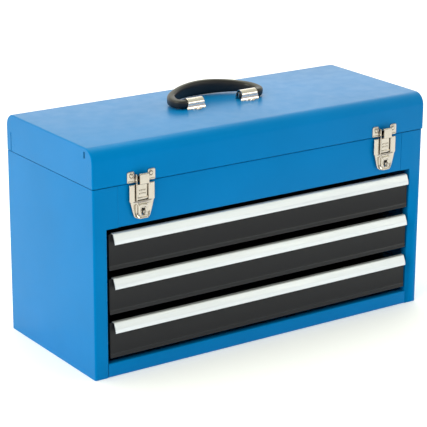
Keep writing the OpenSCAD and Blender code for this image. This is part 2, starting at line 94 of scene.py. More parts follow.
def rounded(corners, radius, steps=5, closed=False):
    """A path with its corners turned into arcs. radius is one number, or one for each corner."""
    n = len(corners)
    radii = radius if isinstance(radius, (list, tuple)) else [radius] * n
    points = []
    for i, corner in enumerate(corners):
        p = Vector(corner)
        if (not closed and i in (0, n - 1)) or radii[i] <= 0:
            points.append(tuple(p))
            continue
        to_a = (Vector(corners[i - 1]) - p)
        to_b = (Vector(corners[(i + 1) % n]) - p)
        half = to_a.angle(to_b) / 2
        reach = min(radii[i] / math.tan(half), to_a.length * 0.49, to_b.length * 0.49)
        r = reach * math.tan(half)
        centre = p + (to_a.normalized() + to_b.normalized()).normalized() * (r / math.sin(half))
        a, b = p + to_a.normalized() * reach - centre, p + to_b.normalized() * reach - centre
        first = math.atan2(a.y, a.x)
        sweep = (math.atan2(b.y, b.x) - first + math.pi) % (2 * math.pi) - math.pi
        for k in range(steps + 1):
            turn = first + sweep * k / steps
            points.append((centre.x + r * math.cos(turn), centre.y + r * math.sin(turn)))
    return points


def beside(path, distance):
    """The path moved to its left by distance."""
    moved = []
    for i, point in enumerate(path):
        p = Vector(point)
        before = (p - Vector(path[i - 1])).normalized() if i else None
        after = (Vector(path[i + 1]) - p).normalized() if i + 1 < len(path) else None
        before, after = before or after, after or before
        way = (before + after).normalized()
        normal = Vector((-way.y, way.x))
        moved.append(tuple(p + normal * (distance / max(0.3, way.dot(before)))))
    return moved


def box_outline(low_u, low_v, high_u, high_v):
    return [(low_u, low_v), (high_u, low_v), (high_u, high_v), (low_u, high_v)]


def smoothstep(a, b, x):
    """0 at a, 1 at b, with a soft start and end."""
    t = max(0.0, min(1.0, (x - a) / (b - a)))
    return t * t * (3 - 2 * t)


def circle(u, v, radius, steps=24):
    return arc((u, v), radius, 0, 360 - 360 / steps, steps - 1)


# ---- Meshes ----

def place(axis, u, v, w):
    """The point at w along axis, with u and v along the other two axes in X, Y, Z order."""
    return {"x": (w, u, v), "y": (u, w, v), "z": (u, v, w)}[axis]


class Piece:
    """A visible piece, built up in millimetres from closed solids."""

    def __init__(self):
        self.bm = bmesh.new()

    def loft(self, rings, caps=True):
        """A skin over closed rings of the same number of points, with a face at each end."""
        made = [[self.bm.verts.new(p) for p in ring] for ring in rings]
        n = len(rings[0])
        for a, b in zip(made, made[1:]):
            for i in range(n):
                self.bm.faces.new((a[i], a[(i + 1) % n], b[(i + 1) % n], b[i]))
        if caps:
            self.bm.faces.new(made[0])
            self.bm.faces.new(made[-1])
        return made

    def prism(self, outline, axis, low, high):
        """An outline made solid between low and high along axis."""
        self.loft([[place(axis, u, v, w) for u, v in outline] for w in (low, high)])
        return self

    def sheet(self, path, thickness, axis, low, high):
        """Sheet bent along a path, thick to the path's left, between low and high along axis."""
        outer, inner = path, beside(path, thickness)
        ring = outer + inner[::-1]
        ends = self.loft([[place(axis, u, v, w) for u, v in ring] for w in (low, high)], caps=False)
        for end in (ends[0], ends[-1]):
            for i in range(len(path) - 1):
                self.bm.faces.new((end[i], end[i + 1], end[-2 - i], end[-1 - i]))
        return self

    def plate(self, outlines, axis, low, high, edge=0.15):
        """A flat plate with holes and softened edges: the first outline is its rim."""
        curve = bpy.data.curves.new("outline", "CURVE")
        curve.dimensions = "2D"
        curve.fill_mode = "BOTH"
        curve.extrude = abs(high - low) / 2 - edge
        curve.bevel_depth = edge
        curve.bevel_resolution = 1
        curve.offset = -edge
        for outline in outlines:
            spline = curve.splines.new("POLY")
            spline.points.add(len(outline) - 1)
            for point, (u, v) in zip(spline.points, outline):
                point.co = (u, v, 0, 1)
            spline.use_cyclic_u = True
        shape = bpy.data.objects.new("outline", curve)
        bpy.context.scene.collection.objects.link(shape)
        mesh = bpy.data.meshes.new_from_object(
            shape.evaluated_get(bpy.context.evaluated_depsgraph_get()))
        part = bmesh.new()
        part.from_mesh(mesh)
        for v in part.verts:
            v.co = place(axis, v.co.x, v.co.y, v.co.z + (low + high) / 2)
        bmesh.ops.remove_doubles(part, verts=part.verts, dist=0.001)
        part.to_mesh(mesh)
        part.free()
        self.bm.from_mesh(mesh)
        bpy.data.objects.remove(shape)
        bpy.data.curves.remove(curve)
        bpy.data.meshes.remove(mesh)
        return self

    def lathe(self, profile, centre, axis, steps=24):
        """A round solid along axis through centre. profile holds (radius, distance) pairs."""
        u0, v0, w0 = {"x": (1, 2, 0), "y": (0, 2, 1), "z": (0, 1, 2)}[axis]
        self.loft([[place(axis, u, v, centre[w0] + w)
                    for u, v in circle(centre[u0], centre[v0], r, steps)] for r, w in profile])
        return self

    def rivet(self, centre, axis, toward, radius=2.5, height=1.0):
        """A low domed rivet head whose flat side is at centre."""
        dome = [(1, 0), (1, 0.25), (0.93, 0.55), (0.74, 0.83), (0.42, 0.97), (0.08, 1)]
        return self.lathe([(radius * r, toward * height * h) for r, h in dome], centre, axis)

    def skin(self, grid, keep=lambda i, j: True):
        """A one-sided surface over a grid of points, leaving out cells that keep() refuses."""
        made = [[self.bm.verts.new(p) for p in row] for row in grid]
        for i in range(len(grid) - 1):
            for j in range(len(grid[0]) - 1):
                if keep(i, j):
                    self.bm.faces.new((made[i][j], made[i][j + 1], made[i + 1][j + 1], made[i + 1][j]))
        loose = [v for v in self.bm.verts if not v.link_faces]
        bmesh.ops.delete(self.bm, geom=loose, context="VERTS")
        return self

    def fuse(self):
        """Joins solids that meet on identical faces, and removes those faces."""
        bmesh.ops.remove_doubles(self.bm, verts=self.bm.verts, dist=0.002)
        self.bm.verts.index_update()
        seen = {}
        for face in self.bm.faces:
            seen.setdefault(frozenset(v.index for v in face.verts), []).append(face)
        doubled = [f for faces in seen.values() if len(faces) > 1 for f in faces]
        bmesh.ops.delete(self.bm, geom=doubled, context="FACES_ONLY")
        return self

    def mirrored(self):
        """The same piece on the other side of the X = 0 plane."""
        for v in self.bm.verts:
            v.co.x = -v.co.x
        return self

    def finish(self, name, body, material, stands_for=(), bevel=0.2, thickness=0, smooth=0):
        """Makes the object, in metres, riding on body."""
        bmesh.ops.recalc_face_normals(self.bm, faces=self.bm.faces)
        mesh = bpy.data.meshes.new(name)
        self.bm.transform(Matrix.Scale(MM, 4))
        self.bm.to_mesh(mesh)
        self.bm.free()
        thing = bpy.data.objects.new(name, mesh)
        bpy.context.scene.collection.objects.link(thing)
        for face in mesh.polygons:
            face.use_smooth = True
        if thickness:
            wall = thing.modifiers.new("thickness", "SOLIDIFY")
            wall.thickness = thickness * MM
            wall.offset = -1
        if smooth:
            rounder = thing.modifiers.new("smooth", "SUBSURF")
            rounder.levels = rounder.render_levels = smooth
        soften(thing, bevel)
        mesh.materials.append(material)
        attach(thing, body)
        if stands_for:
            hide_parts(*stands_for)
        return thing


def soften(thing, width, angle=40):
    """Rounds a piece's sharp edges a little, and shades its faces true."""
    if width:
        bevel = thing.modifiers.new("edges", "BEVEL")
        bevel.width = width * MM
        bevel.segments = 2
        bevel.limit_method = "ANGLE"
        bevel.angle_limit = math.radians(angle)
        bevel.harden_normals = True
        bevel.use_clamp_overlap = True


def cut(thing, cutter):
    """Cuts a Piece's solids out of an object's mesh."""
    bmesh.ops.recalc_face_normals(cutter.bm, faces=cutter.bm.faces)
    mesh = bpy.data.meshes.new("cutter")
    cutter.bm.transform(Matrix.Scale(MM, 4))
    cutter.bm.to_mesh(mesh)
    cutter.bm.free()
    tool = bpy.data.objects.new("cutter", mesh)
    bpy.context.scene.collection.objects.link(tool)
    bevels = [m for m in thing.modifiers if m.type == "BEVEL"]
    for m in bevels:
        thing.modifiers.remove(m)
    boolean = thing.modifiers.new("cut", "BOOLEAN")
    boolean.operation = "DIFFERENCE"
    boolean.solver = "EXACT"
    boolean.object = tool
    graph = bpy.context.evaluated_depsgraph_get()
    result = bpy.data.meshes.new_from_object(thing.evaluated_get(graph))
    old = thing.data
    thing.modifiers.clear()
    thing.data = result
    result.name = old.name
    bpy.data.meshes.remove(old)
    bpy.data.objects.remove(tool)
    bpy.data.meshes.remove(mesh)


# ---- Materials ----

def nodes_of(name):
    material = bpy.data.materials.new(name)
    material.use_nodes = True
    tree = material.node_tree
    shader = tree.nodes["Principled BSDF"]
    return material, tree, shader


def noise(tree, scale, detail=3.0, stretch=(1, 1, 1)):
    """A noise texture fixed to the object, with scale in cycles per metre."""
    coords = tree.nodes.new("ShaderNodeTexCoord")
    mapping = tree.nodes.new("ShaderNodeMapping")
    mapping.inputs["Scale"].default_value = stretch
    texture = tree.nodes.new("ShaderNodeTexNoise")
    texture.inputs["Scale"].default_value = scale
    texture.inputs["Detail"].default_value = detail
    tree.links.new(coords.outputs["Object"], mapping.inputs["Vector"])
    tree.links.new(mapping.outputs["Vector"], texture.inputs["Vector"])
    return texture.outputs["Fac"]


def ramp(tree, value, low, high):
    """Maps a 0 to 1 value onto the range low to high."""
    node = tree.nodes.new("ShaderNodeMapRange")
    node.inputs["From Min"].default_value = 0.3
    node.inputs["From Max"].default_value = 0.7
    node.inputs["To Min"].default_value = low
    node.inputs["To Max"].default_value = high
    tree.links.new(value, node.inputs["Value"])
    return node.outputs["Result"]


def tint(tree, value, dark, light):
    """Mixes two colours by a 0 to 1 value."""
    node = tree.nodes.new("ShaderNodeMix")
    node.data_type = "RGBA"
    node.inputs["A"].default_value = (*dark, 1)
    node.inputs["B"].default_value = (*light, 1)
    tree.links.new(ramp(tree, value, 0, 1), node.inputs["Factor"])
    return node.outputs["Result"]


def bump(tree, shader, *layers):
    """Stacks height layers, each (value, strength, depth in millimetres), into the normal."""
    last = None
    for value, strength, depth in layers:
        node = tree.nodes.new("ShaderNodeBump")
        node.inputs["Strength"].default_value = strength
        node.inputs["Distance"].default_value = depth * MM
        tree.links.new(value, node.inputs["Height"])
        if last:
            tree.links.new(last, node.inputs["Normal"])
        last = node.outputs["Normal"]
    tree.links.new(last, shader.inputs["Normal"])


def paint(name, colour, sheen_tint, roughness, specular, peel):
    """Baked enamel: a faint orange peel, and colour and gloss that drift a little."""
    material, tree, shader = nodes_of(name)
    drift = noise(tree, 9, 4)
    dark = [c * 0.94 for c in colour]
    light = [min(1, c * 1.05) for c in colour]
    tree.links.new(tint(tree, drift, dark, light), shader.inputs["Base Color"])
    fine = noise(tree, 60, 3)
    tree.links.new(ramp(tree, fine, roughness - 0.03, roughness + 0.03), shader.inputs["Roughness"])
    shader.inputs["Specular IOR Level"].default_value = specular
    shader.inputs["Specular Tint"].default_value = (*sheen_tint, 1)
    bump(tree, shader, (noise(tree, 420, 2), peel, 0.12), (noise(tree, 2600, 2), peel * 0.6, 0.02))
    return material


def painted_crevice_shade(tree, clean, colour):
    """Painted shade: darkens a metal's colour in its corners and gaps, by ambient occlusion."""
    shade = tree.nodes.new("ShaderNodeAmbientOcclusion")
    shade.inputs["Distance"].default_value = 3 * MM
    shade.samples = 8
    open_share = tree.nodes.new("ShaderNodeMapRange")
    open_share.inputs["From Min"].default_value = 0.15
    open_share.inputs["From Max"].default_value = 0.7
    tree.links.new(shade.outputs["AO"], open_share.inputs["Value"])
    node = tree.nodes.new("ShaderNodeMix")
    node.data_type = "RGBA"
    # colour of the painted shade: the metal's own colour, much darker
    node.inputs["A"].default_value = (colour[0] * 0.24, colour[1] * 0.21, colour[2] * 0.19, 1)
    tree.links.new(clean, node.inputs["B"])
    tree.links.new(open_share.outputs["Result"], node.inputs["Factor"])
    return node.outputs["Result"]


def metal(name, colour, roughness, grain, stretch, strength, metallic=1.0):
    """Plated or drawn metal: gloss and relief run along the grain."""
    material, tree, shader = nodes_of(name)
    shader.inputs["Metallic"].default_value = metallic
    streaks = noise(tree, grain, 5, stretch)
    dark = [c * 0.9 for c in colour]
    # painted shade in the corners and gaps, laid over the grain's tint
    tree.links.new(painted_crevice_shade(tree, tint(tree, streaks, dark, colour), colour),
                   shader.inputs["Base Color"])
    tree.links.new(ramp(tree, streaks, roughness * 0.75, roughness * 1.3), shader.inputs["Roughness"])
    bump(tree, shader, (streaks, strength, 0.05), (noise(tree, 900, 2), strength * 0.5, 0.05))
    return material


def moulded(name, colour, roughness):
    """Moulded vinyl with a fine pebbled grain."""
    material, tree, shader = nodes_of(name)
    pebbles = tree.nodes.new("ShaderNodeTexVoronoi")
    pebbles.inputs["Scale"].default_value = 1500
    coords = tree.nodes.new("ShaderNodeTexCoord")
    tree.links.new(coords.outputs["Object"], pebbles.inputs["Vector"])
    handled = noise(tree, 35, 4)
    tree.links.new(tint(tree, handled, colour, [c * 1.5 for c in colour]), shader.inputs["Base Color"])
    tree.links.new(ramp(tree, handled, roughness - 0.05, roughness + 0.06), shader.inputs["Roughness"])
    bump(tree, shader, (pebbles.outputs["Distance"], 0.18, 0.08), (noise(tree, 240, 3), 0.12, 0.15))
    return material


BLUE = paint("blue_paint", (0.0, 0.174, 0.49), (0.0, 0.5, 1.0), 0.33, 0.30, 0.10)
CHARCOAL = paint("charcoal_paint", (0.0062, 0.007, 0.0108), (1, 1, 1), 0.40, 0.34, 0.16)
SATIN = metal("satin_aluminium", (0.87, 0.92, 0.99), 0.42, 260, (0.04, 1, 1), 0.05, 0.7)
NICKEL = metal("nickel", (0.59, 0.545, 0.495), 0.14, 190, (1, 1, 0.5), 0.12)
CHROME = metal("bright_nickel", (0.84, 0.79, 0.77), 0.12, 190, (0.4, 1, 1), 0.05)
ZINC = metal("zinc", (0.62, 0.63, 0.64), 0.36, 140, (1, 1, 1), 0.10)
GRIP = moulded("black_grip", (0.007, 0.0065, 0.0075), 0.36)
FINISHES = {"blue_paint": BLUE, "charcoal_paint": CHARCOAL, "satin_aluminium": SATIN,
            "nickel": NICKEL, "zinc": ZINC, "black_grip": GRIP}


def dress_cad_nodes():
    """Gives every CAD node its finish and slightly rounded edges."""
    for part in frame["record"]["subparts"]:
        thing = frame["nodes"][part["node"]]
        thing.data.materials.clear()
        thing.data.materials.append(FINISHES[part["material_slot"]])
        if "custom_normal" in thing.data.attributes:
            thing.data.attributes.remove(thing.data.attributes["custom_normal"])
        for face in thing.data.polygons:
            face.use_smooth = True
        weld = thing.modifiers.new("weld", "WELD")
        weld.merge_threshold = 0.002 * MM
        soften(thing, 0.18)


# ---- Case ----

FLANGE_W = 35   # of a side panel's flange beside the front panel


def side_panels():
    """Each side is one sheet: inner return, front post, side, with a wider flange above."""
    for name, s in SIDES:
        post = POST_X
        lower = rounded([(post, Y_FRONT + 11), (post, Y_FRONT), (X_SIDE, Y_FRONT), (X_SIDE, Y_BACK)],
                        [0, 1.2, 2.4, 0], 6)
        wide = rounded([(post + 1.2, Y_FRONT), (X_SIDE, Y_FRONT), (X_SIDE, Y_BACK)], [0, 2.4, 0], 6)
        piece = Piece()
        piece.sheet(lower, T, "z", 0, OPENING_TOP)
        piece.sheet([(X_SIDE - FLANGE_W, Y_FRONT)] + wide, T, "z", OPENING_TOP, RIM_Z - 0.5)
        piece.fuse()
        hem = [(X_SIDE - T, RIM_Z - 1.2), (X_SIDE - T, RIM_Z - 10)]
        piece.sheet(hem[::-1], T, "y", Y_FRONT + 3, Y_BACK - 15)
        if s < 0:
            piece.mirrored()
        piece.finish(f"side_skin_{name}", "case", BLUE, [f"side_panel_{name}"], 0.18)


def front_panel():
    """Panel above the drawers, turned in at the bottom and hemmed at the rim."""
    half = X_SIDE - FLANGE_W - 0.12
    wider_gap = 0.35   # the seam shows on the right only
    face = Y_FRONT
    inner = face + 2 * T
    rim = RIM_Z - 0.3
    path = rounded([(face + 10, OPENING_TOP), (face, OPENING_TOP), (face, rim), (inner, rim),
                    (inner, RIM_Z - 10)], [0, 1.4, T + 0.02, T + 0.02, 0], 5)
    piece = Piece().sheet(path[::-1], T, "x", -half, half - wider_gap)
    lap = box_outline(face + T + 0.02, OPENING_TOP + 4, face + 2 * T, RIM_Z - 11)
    for s in (-1, 1):
        piece.prism(lap, "x", *sorted((s * (half - 5), s * (half + 15))))
    piece.finish("front_skin", "case", BLUE, ["front_panel"], 0.18)


def bottom_pan():
    """Bottom sheet, folded up at the front into the rail under the drawers."""
    half = POST_X - 0.25
    top = RAIL_TOP
    path = rounded([(Y_FRONT + 9, top), (Y_FRONT, top), (Y_FRONT, 0), (Y_FRONT + 30, 0)],
                   [0, 1.4, 2.2, 0], 6)
    piece = Piece().sheet(path, T, "x", -half, half)
    piece.prism(box_outline(Y_FRONT + 1.2, 0.02, Y_BACK, T + 0.02), "x", -X_SIDE + T, X_SIDE - T)
    for s in (-1, 1):
        edge = X_SIDE - T
        wall = box_outline(min(s * edge, s * (edge - T)), 0.4, max(s * edge, s * (edge - T)), 12)
        piece.prism(wall, "y", Y_FRONT + 12, Y_BACK - 15)
    piece.finish("pan_skin", "case", BLUE, ["bottom_pan"], 0.18)


def back_weld_marks():
    """Shallow spot-weld marks down the back's edges."""
    piece = Piece()
    back = span("back_panel")[1].y
    dome = [(2.6, 0), (2.3, 0.14), (1.5, 0.2), (0.2, 0.16)]
    for s in (-1, 1):
        for z in range(24, 240, 34):
            piece.lathe(dome, (s * (X_SIDE - 8), back - 0.02, z), "y", 20)
    piece.finish("back_weld_marks", "case", BLUE, bevel=0)


def hinge_rivets():
    """Rivets through both leaves of the piano hinge."""
    lower = span("hinge_leaf_case")[0].z
    upper = span("hinge_leaf_lid")[1].z
    pitch = 58.2
    for body, z in (("case", lower + 5), ("lid", upper - 5)):
        piece = Piece()
        for i in range(-4, 5):
            piece.rivet((i * pitch, Y_BACK + 0.8, z), "y", 1, 2.4, 0.9)
        piece.finish(f"hinge_rivets_{body}", body, BLUE, bevel=0)


# ---- Lid ----

LID_R = 16.5
LID_EDGE_R = 1.7


def lid_profile(inset, x):
    """The lid's outline across the chest at x, brought in by inset, from back to front."""
    front, back, r = LID_LOW.y, LID_HIGH.y, LID_R
    points = [(back - inset, LID_Z)]
    points += arc((back - r, TOP_Z - r), r - inset, 0, 90, 10)
    points += arc((front + r, TOP_Z - r), r - inset, 90, 180, 10)
    points += [(front + inset, LID_Z)]
    return [(x, y, z) for y, z in points]


def lid_shell():
    """Lid pressed from one sheet, with soft edges and turned-down ends."""
    rings = []
    for s in (-1, 1):
        side = []
        for turn in (90, 72, 54, 36, 18, 0):
            a = math.radians(turn)
            inset = LID_EDGE_R * (1 - math.cos(a))
            side.append(lid_profile(inset, s * (LID_X - LID_EDGE_R + LID_EDGE_R * math.sin(a))))
        rings += side if s < 0 else side[::-1]
    piece = Piece()
    made = [[piece.bm.verts.new(p) for p in ring] for ring in rings]
    for a, b in zip(made, made[1:]):
        for i in range(len(a) - 1):
            piece.bm.faces.new((a[i], a[i + 1], b[i + 1], b[i]))
    piece.bm.faces.new(made[0])
    piece.bm.faces.new(made[-1])
    lid = piece.finish("lid_skin", "lid", BLUE, ["lid_shell", "lid_end_left", "lid_end_right"],
                       bevel=0, thickness=T)
    cut(lid, lid_end_marks())
    for face in lid.data.polygons:
        face.use_smooth = abs(face.normal.x) < 0.999
    soften(lid, 0.15)


def lid_end_marks():
    """What is cut into each end of the lid: the seam at the back, and a short slit at the front."""
    depth = 2.4
    marks = Piece()
    for s in (-1, 1):
        low, high = sorted((s * (LID_X - depth), s * (LID_X + 1)))
        marks.prism(box_outline(Y_BACK - 12.2, LID_Z - 2, Y_BACK - 11, LID_Z + 25), "x", low, high)
        slit = rounded(box_outline(-91, 281.5, -88.4, 290), 1.1, 3, True)
        marks.prism(slit, "x", low, high)
    return marks


def lid_hem():
    """Doubled sheet along the inside of the lid's lower edge."""
    hem = Piece()
    low, high = LID_Z + 0.02, LID_Z + 6
    front = LID_LOW.y + T
    hem.prism(box_outline(front + 0.02, low, front + T, high), "x", -LID_X + 4, LID_X - 4)
    for s in (-1, 1):
        inner, outer = sorted((s * (LID_X - 2 * T), s * (LID_X - T - 0.02)))
        hem.prism(box_outline(inner, low, outer, high), "y", LID_LOW.y + 5, Y_BACK - 22)
    hem.finish("lid_hem", "lid", BLUE, bevel=0.15)


def lid_weld_marks():
    """Spot-weld marks that hold the lid's ends to its shell."""
    dots = Piece()
    for s in (-1, 1):
        dome = [(1.3, 0), (1.1, s * 0.12), (0.6, s * 0.18), (0.1, s * 0.15)]
        for y, z in ((-99, 274.6), (-99, 258), (101, 262), (88, 256)):
            dots.lathe(dome, (s * (LID_X - 0.03), y, z), "x", 16)
    dots.finish("lid_weld_marks", "lid", BLUE, bevel=0)


# ---- Handle ----

PIVOT = joint("handle_pivot")
LEAN = math.radians(85)
GRIP_HALF_X = span("handle_grip")[1].x
GRIP_T = 9
GRIP_RISE = 49
END_R = 10
SHOULDER_R = 24
END_X = GRIP_HALF_X - GRIP_T / 2 - END_R
SHOULDER_X = END_X + END_R - SHOULDER_R
SHOULDER_RISE = GRIP_RISE - END_R
ARC_R = (SHOULDER_X ** 2 + SHOULDER_RISE ** 2 - SHOULDER_R ** 2) / (2 * (SHOULDER_RISE - SHOULDER_R))
ARC_Z = GRIP_RISE - ARC_R
ARC_A = 90 - math.degrees(math.atan(SHOULDER_X / (END_R - ARC_Z)))
JOURNAL_R = 5.55
END_HALF = 5.4        # half the grip's breadth at its ends
MIDDLE_HALF = 10      # and at its middle
SWELL_POWER = 2.2
END_PAD = 3           # extra thickness inside the end bends
CLIP_R = 6.9
CLIP_T = 1.2


def grip():
    """Moulded loop: round journals, slim ends, and a body that swells to its middle."""
    half = [(x, 0.0) for x in (29, 36, 46, 54, END_X - 1)]
    half += arc((END_X, END_R), END_R, -90, 0, 10)[1:]
    half += arc((SHOULDER_X, END_R), SHOULDER_R, 0, ARC_A, 12)[1:]
    half += arc((0, ARC_Z), ARC_R, ARC_A, 90, 14)[1:]
    path = half + [(-x, z) for x, z in half[-2::-1]]
    rings = []
    for i, (x, z) in enumerate(path):
        before = Vector(path[max(0, i - 1)])
        after = Vector(path[min(len(path) - 1, i + 1)])
        way = (after - before).normalized()
        normal = Vector((-way.y, way.x))
        out = smoothstep(54, END_X + 5, abs(x)) if z < END_R else 1.0
        thick = JOURNAL_R + (GRIP_T / 2 - JOURNAL_R) * out
        rise = max(0.0, z / GRIP_RISE)
        swell = END_HALF + (MIDDLE_HALF - END_HALF) * rise ** SWELL_POWER
        inner = END_PAD * out * smoothstep(0.9, 0.2, rise)
        broad = JOURNAL_R + (swell - JOURNAL_R) * out
        power = 1 - 0.36 * out
        ring = []
        for k in range(28):
            a = 2 * math.pi * k / 28
            c, s = math.cos(a), math.sin(a)
            u = math.copysign(abs(c) ** power, c) * (thick + (inner if c > 0 else 0))
            v = math.copysign(abs(s) ** power, s) * broad
            ring.append((x + normal.x * u, v, z + normal.y * u))
        rings.append(ring)
    piece = Piece()
    piece.loft(rings)
    for v in piece.bm.verts:
        y, z = v.co.y, v.co.z
        v.co.y = y * math.cos(LEAN) + z * math.sin(LEAN) + PIVOT.y
        v.co.z = -y * math.sin(LEAN) + z * math.cos(LEAN) + PIVOT.z
    piece.finish("grip", "handle", GRIP, ["handle_grip"], bevel=0, smooth=1)


def handle_clips():
    """Bright saddles that hold the grip's journals down, with a riveted foot fore and aft."""
    r, y, z = CLIP_R, PIVOT.y, PIVOT.z
    for name, _ in SIDES:
        low, high = span(f"handle_clip_{name}")
        mid = (low.x + high.x) / 2
        path = [(y + r + 1.1, TOP_Z + 0.05), (y + r, TOP_Z + 1.4)]
        path += arc((y, z), r, 0, 180, 16)
        path += [(y - r, TOP_Z + 1.4), (y - r - 1.1, TOP_Z + 0.05)]
        piece = Piece().sheet(path, CLIP_T, "x", low.x, high.x)
        for v in piece.bm.verts:
            narrowing = 0.13 * smoothstep(TOP_Z + 1, TOP_Z + 9, v.co.z)
            v.co.x = mid + (v.co.x - mid) * (1 - narrowing)
        for side in (-1, 1):
            tip = y + side * 10.8
            outline = [(mid - 7, y + side * (r - CLIP_T)), (mid + 7, y + side * (r - CLIP_T)),
                       (mid + 5.6, tip)]
            outline += arc((mid, tip), 4.2, 0, 180 * side, 10)
            outline += [(mid - 5.6, tip)]
            piece.plate([outline], "z", TOP_Z + 0.02, TOP_Z + CLIP_T, 0.2)
        piece.finish(f"clip_{name}", "lid", CHROME, [f"handle_clip_{name}"], 0.25)


def clip_rivets():
    """Rivets through the clips' feet, the lid and the plate under it."""
    rivets = Piece()
    for name, _ in SIDES:
        low, high = span(f"handle_clip_{name}")
        x = (low.x + high.x) / 2
        for side in (-1, 1):
            y = PIVOT.y + side * 11
            rivets.rivet((x, y, TOP_Z + CLIP_T), "z", 1, 2.6, 1.2)
            rivets.rivet((x, y, TOP_Z - T - CLIP_T), "z", -1, 2.5, 1)
    rivets.finish("clip_rivets", "lid", CHROME, ["handle_rivets"], bevel=0)


# ---- Latches ----

EAR_R = 1.45   # of the ears round a lever's pins


def latch_base(name, x):
    """Plate with ears for the lever and an eye for a padlock."""
    low, high = span(f"latch_base_{name}")
    back = Y_FRONT
    pivot = joint(f"lever_{name}_pivot")
    half = (high.x - low.x) / 2
    plate = rounded(box_outline(x - half, low.z, x + half, high.z), [5, 5, 1, 1], 5, True)
    piece = Piece().plate([plate], "y", back - 1.2, back - 0.02, 0.2)
    for s in (-1, 1):
        ear = [(back - 0.6, pivot.z - 6), (back - 0.6, pivot.z + EAR_R), (pivot.y, pivot.z + EAR_R)]
        ear += arc((pivot.y, pivot.z), EAR_R, 90, 250, 10)
        edges = sorted((x + s * half, x + s * (half - 1.2)))
        piece.plate([ear], "x", *edges, 0.15)
    eye = (low.y + 3, 209.5)
    staple = [(back - 0.6, eye[1] + 3)] + arc(eye, 3, 90, 270, 12) + [(back - 0.6, eye[1] - 3)]
    piece.plate([staple, circle(*eye, 2.2, 20)], "x", x - 0.9, x + 0.9, 0.2)
    piece.finish(f"latch_plate_{name}", "case", NICKEL, [f"latch_base_{name}"], bevel=0)


def keeper(name, x):
    """Plate on the lid with two riveted ears and the ledge that the hook catches."""
    low, high = span(f"keeper_{name}")
    face = LID_LOW.y
    half = (high.x - low.x) / 2
    notch = 9.6
    outline = rounded([
        (x - half, low.z), (x + half, low.z), (x + half, high.z), (x + notch, high.z),
        (x + notch, 254), (x - notch, 254), (x - notch, high.z), (x - half, high.z)],
        [1.6, 1.6, 2.4, 2.4, 1, 1, 2.4, 2.4], 4, True)
    piece = Piece().plate([outline], "y", face - 1.2, face - 0.02, 0.25)
    ledge = rounded([(face - 1.3, low.z + 2), (face - 5.4, low.z + 3.2), (face - 5.4, 256),
                     (face - 0.8, 256)], 1.2, 4)
    piece.sheet(ledge[::-1], 1.2, "x", x - 6.2, x + 6.2)
    for s in (-1, 1):
        ring = [(4.1, 0), (3.8, -0.35), (3.3, -0.45), (2.9, -0.3), (2.7, -0.05)]
        piece.lathe(ring, (x + s * 13.8, face - 1.15, 255.7), "y", 24)
        fold = [(face - 1.1, low.z + 0.4), (face - 2.1, low.z + 1.1), (face - 2.1, low.z + 1.9),
                (face - 1.1, low.z + 2.7)]
        piece.prism(fold, "x", *sorted((x + s * 10.4, x + s * (half - 1))))
    piece.finish(f"keeper_plate_{name}", "lid", NICKEL, [f"keeper_{name}"], bevel=0.15)


def lever_width(z, half):
    """Half the width of a lever at z: full beside the hook, tapering to a rounded toe."""
    if z >= 223:
        return half
    if z >= 206:
        return 12.2 + (half - 13.3) * ((z - 206) / 17) ** 0.85
    return 12.2 * (0.42 + 0.58 * math.sqrt(max(0.0, 1 - ((206 - z) / 4.4) ** 2)))


def lever_relief(u, z, width):
    """How far a lever's face stands out from the case, u across from its middle."""
    low = smoothstep(221, 217.5, z)
    pad = smoothstep(7.4, 6.0, abs(u)) * low
    valley = smoothstep(5.8, 7.4, abs(u)) * smoothstep(width - 1.4, 8.6, abs(u)) * low
    valley *= smoothstep(203.5, 207, z)
    lip = smoothstep(205, 201.8, z)
    dish = smoothstep(5.2, 3.2, abs(u)) * smoothstep(218.5, 216.5, z) * smoothstep(213.8, 216, z)
    wing = 0.7 * smoothstep(width - 1.5, 10, abs(u)) * smoothstep(221, 224, z)
    return 4.7 + 2.1 * pad - 2.0 * valley + 1.5 * lip - 0.8 * dish - wing


